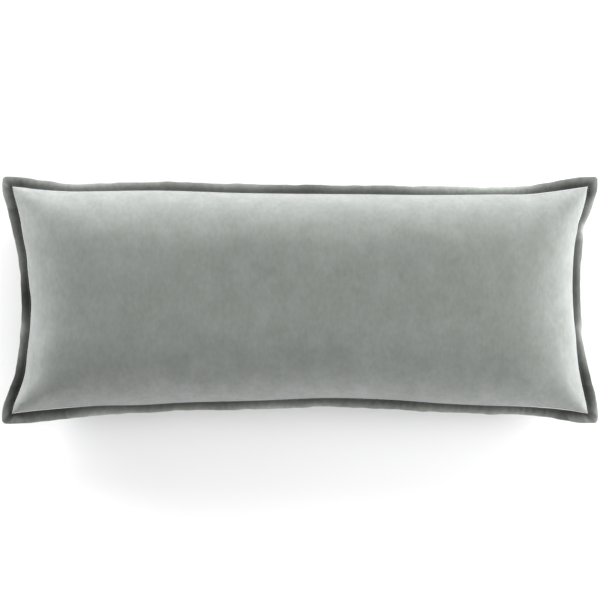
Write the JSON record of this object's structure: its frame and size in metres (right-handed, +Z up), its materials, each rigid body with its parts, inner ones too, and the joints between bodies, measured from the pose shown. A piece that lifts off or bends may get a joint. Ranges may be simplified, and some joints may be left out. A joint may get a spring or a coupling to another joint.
{
  "type": "lumbar pillow",
  "caption": "Long grey velvet lumbar pillow with a full crown, drawn-in sides and a narrow flange of doubled cloth round its seam.",
  "frame": {"origin": "on the surface that the pillow lies on, under the middle of its outline", "axes": "+X along the pillow, +Y across it, +Z up out of its face"},
  "size_m": [0.7402, 0.3068, 0.1035],
  "materials": {
    "face_velvet": "short cotton pile, grey, paler where it is seen edge on",
    "flange_velvet": "the same grey pile, darker in its groove"
  },
  "bodies": {
    "root": {"cushion": "face_velvet", "flange": "flange_velvet"}
  },
  "joints": []
}
